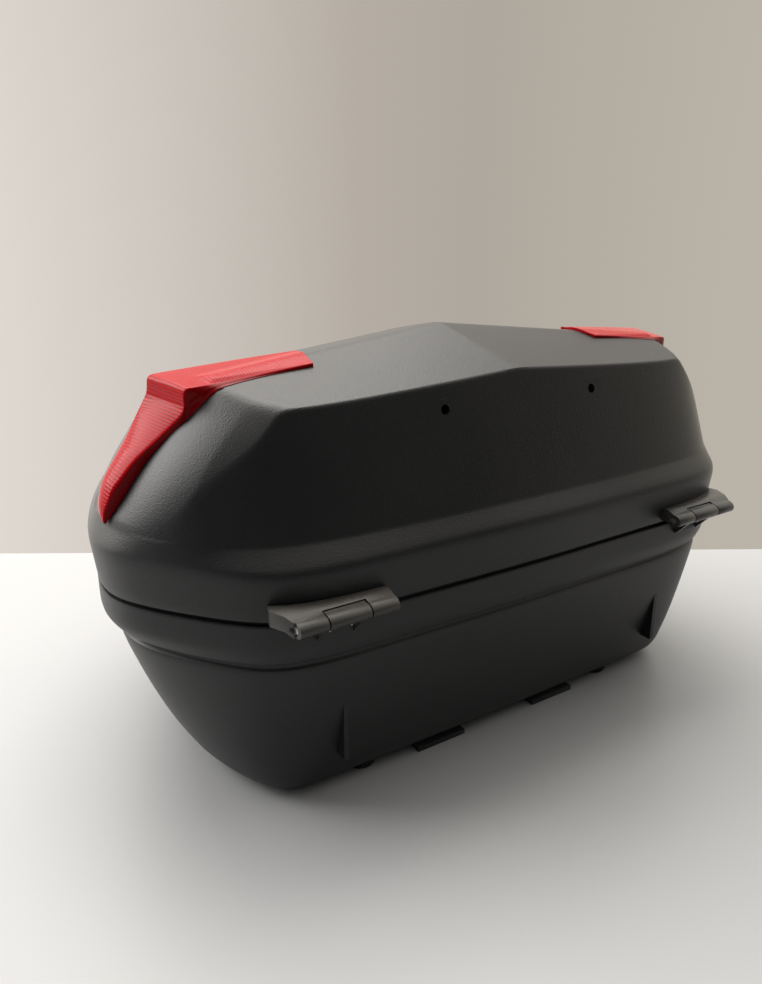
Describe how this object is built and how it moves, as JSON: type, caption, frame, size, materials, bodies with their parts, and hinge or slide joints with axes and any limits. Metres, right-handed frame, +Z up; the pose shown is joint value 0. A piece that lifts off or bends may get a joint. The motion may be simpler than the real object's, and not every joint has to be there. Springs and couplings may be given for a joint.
{
  "type": "motorcycle top case",
  "caption": "Hard-shell motorcycle top case with a hinged lid, key lock, push-button latch, plate catch and red end reflectors.",
  "frame": {"origin": "middle of the underside: centre of the whole case's box in X and Y, on the surface it stands on", "axes": "+Z up; X along the hinge side, the case being symmetric about X = 0 apart from its inner springs; hinges face -Y, lock faces +Y"},
  "size_m": [0.5774, 0.418, 0.3175],
  "materials": {
    "shell_plastic": "fine moulded grain, matt black",
    "hinge_plastic": "smooth satin dark grey",
    "plate_plastic": "matt black",
    "seal_rubber": "matt rubber",
    "fastener_steel": "zinc-plated",
    "pin_steel": "bright turned",
    "reflector_red": "transparent red lens with prism ribs",
    "button_plastic": "satin red",
    "lock_metal": "satin chrome"
  },
  "bodies": {
    "base": {"base_shell": "shell_plastic", "rim_seal": "seal_rubber", "hinge_bracket_left": "hinge_plastic", "hinge_bracket_right": "hinge_plastic", "bracket_screws": "fastener_steel", "bottom_plate": "plate_plastic", "bottom_screws": "fastener_steel", "rubber_feet": "seal_rubber", "lock_housing": "hinge_plastic", "mechanism_cover": "plate_plastic", "cover_screws": "fastener_steel", "latch_pin": "fastener_steel", "catch_pin": "fastener_steel", "latch_spring": "fastener_steel", "catch_spring": "fastener_steel"},
    "lid": {"lid_shell": "shell_plastic", "hinge_leaf_left": "hinge_plastic", "hinge_leaf_right": "hinge_plastic", "hinge_pin_left": "pin_steel", "hinge_pin_right": "pin_steel", "leaf_screws": "fastener_steel", "reflector_left": "reflector_red", "reflector_right": "reflector_red", "reflector_screws": "fastener_steel", "striker": "fastener_steel", "striker_screws": "fastener_steel"},
    "lid_button": {"lid_button": "button_plastic"},
    "lid_latch": {"lid_latch": "fastener_steel"},
    "key_lock": {"lock_cylinder": "lock_metal", "lock_cam": "fastener_steel"},
    "release_button": {"release_button": "hinge_plastic"},
    "plate_catch": {"plate_catch": "fastener_steel"}
  },
  "joints": [
    {"name": "lid_hinge", "type": "hinge", "parent": "base", "child": "lid", "pos_m": [0, -0.202, 0.163], "axis": [1, 0, 0], "range_deg": [0, 95]},
    {"name": "lid_button_push", "type": "slide", "parent": "base", "child": "lid_button", "axis": [0, -1, 0], "range_m": [0, 0.005], "stiffness_N_per_m": 600, "springref_m": -0.002},
    {"name": "lid_latch_turn", "type": "hinge", "parent": "base", "child": "lid_latch", "pos_m": [0, 0.178, 0.098], "axis": [1, 0, 0], "range_deg": [0, 9.5]},
    {"name": "key_turn", "type": "hinge", "parent": "base", "child": "key_lock", "pos_m": [0, 0.2, 0.104], "axis": [0, 1, 0], "range_deg": [0, 90]},
    {"name": "release_button_push", "type": "slide", "parent": "base", "child": "release_button", "axis": [0, -1, 0], "range_m": [0, 0.005], "stiffness_N_per_m": 600, "springref_m": -0.002},
    {"name": "plate_catch_turn", "type": "hinge", "parent": "base", "child": "plate_catch", "pos_m": [0, 0.158, 0.04], "axis": [1, 0, 0], "range_deg": [0, 8]}
  ],
  "couplings": [
    {"joint": "lid_latch_turn", "follows": "lid_button_push", "rad_per_m": 32.26},
    {"joint": "plate_catch_turn", "follows": "release_button_push", "rad_per_m": 26.3}
  ]
}
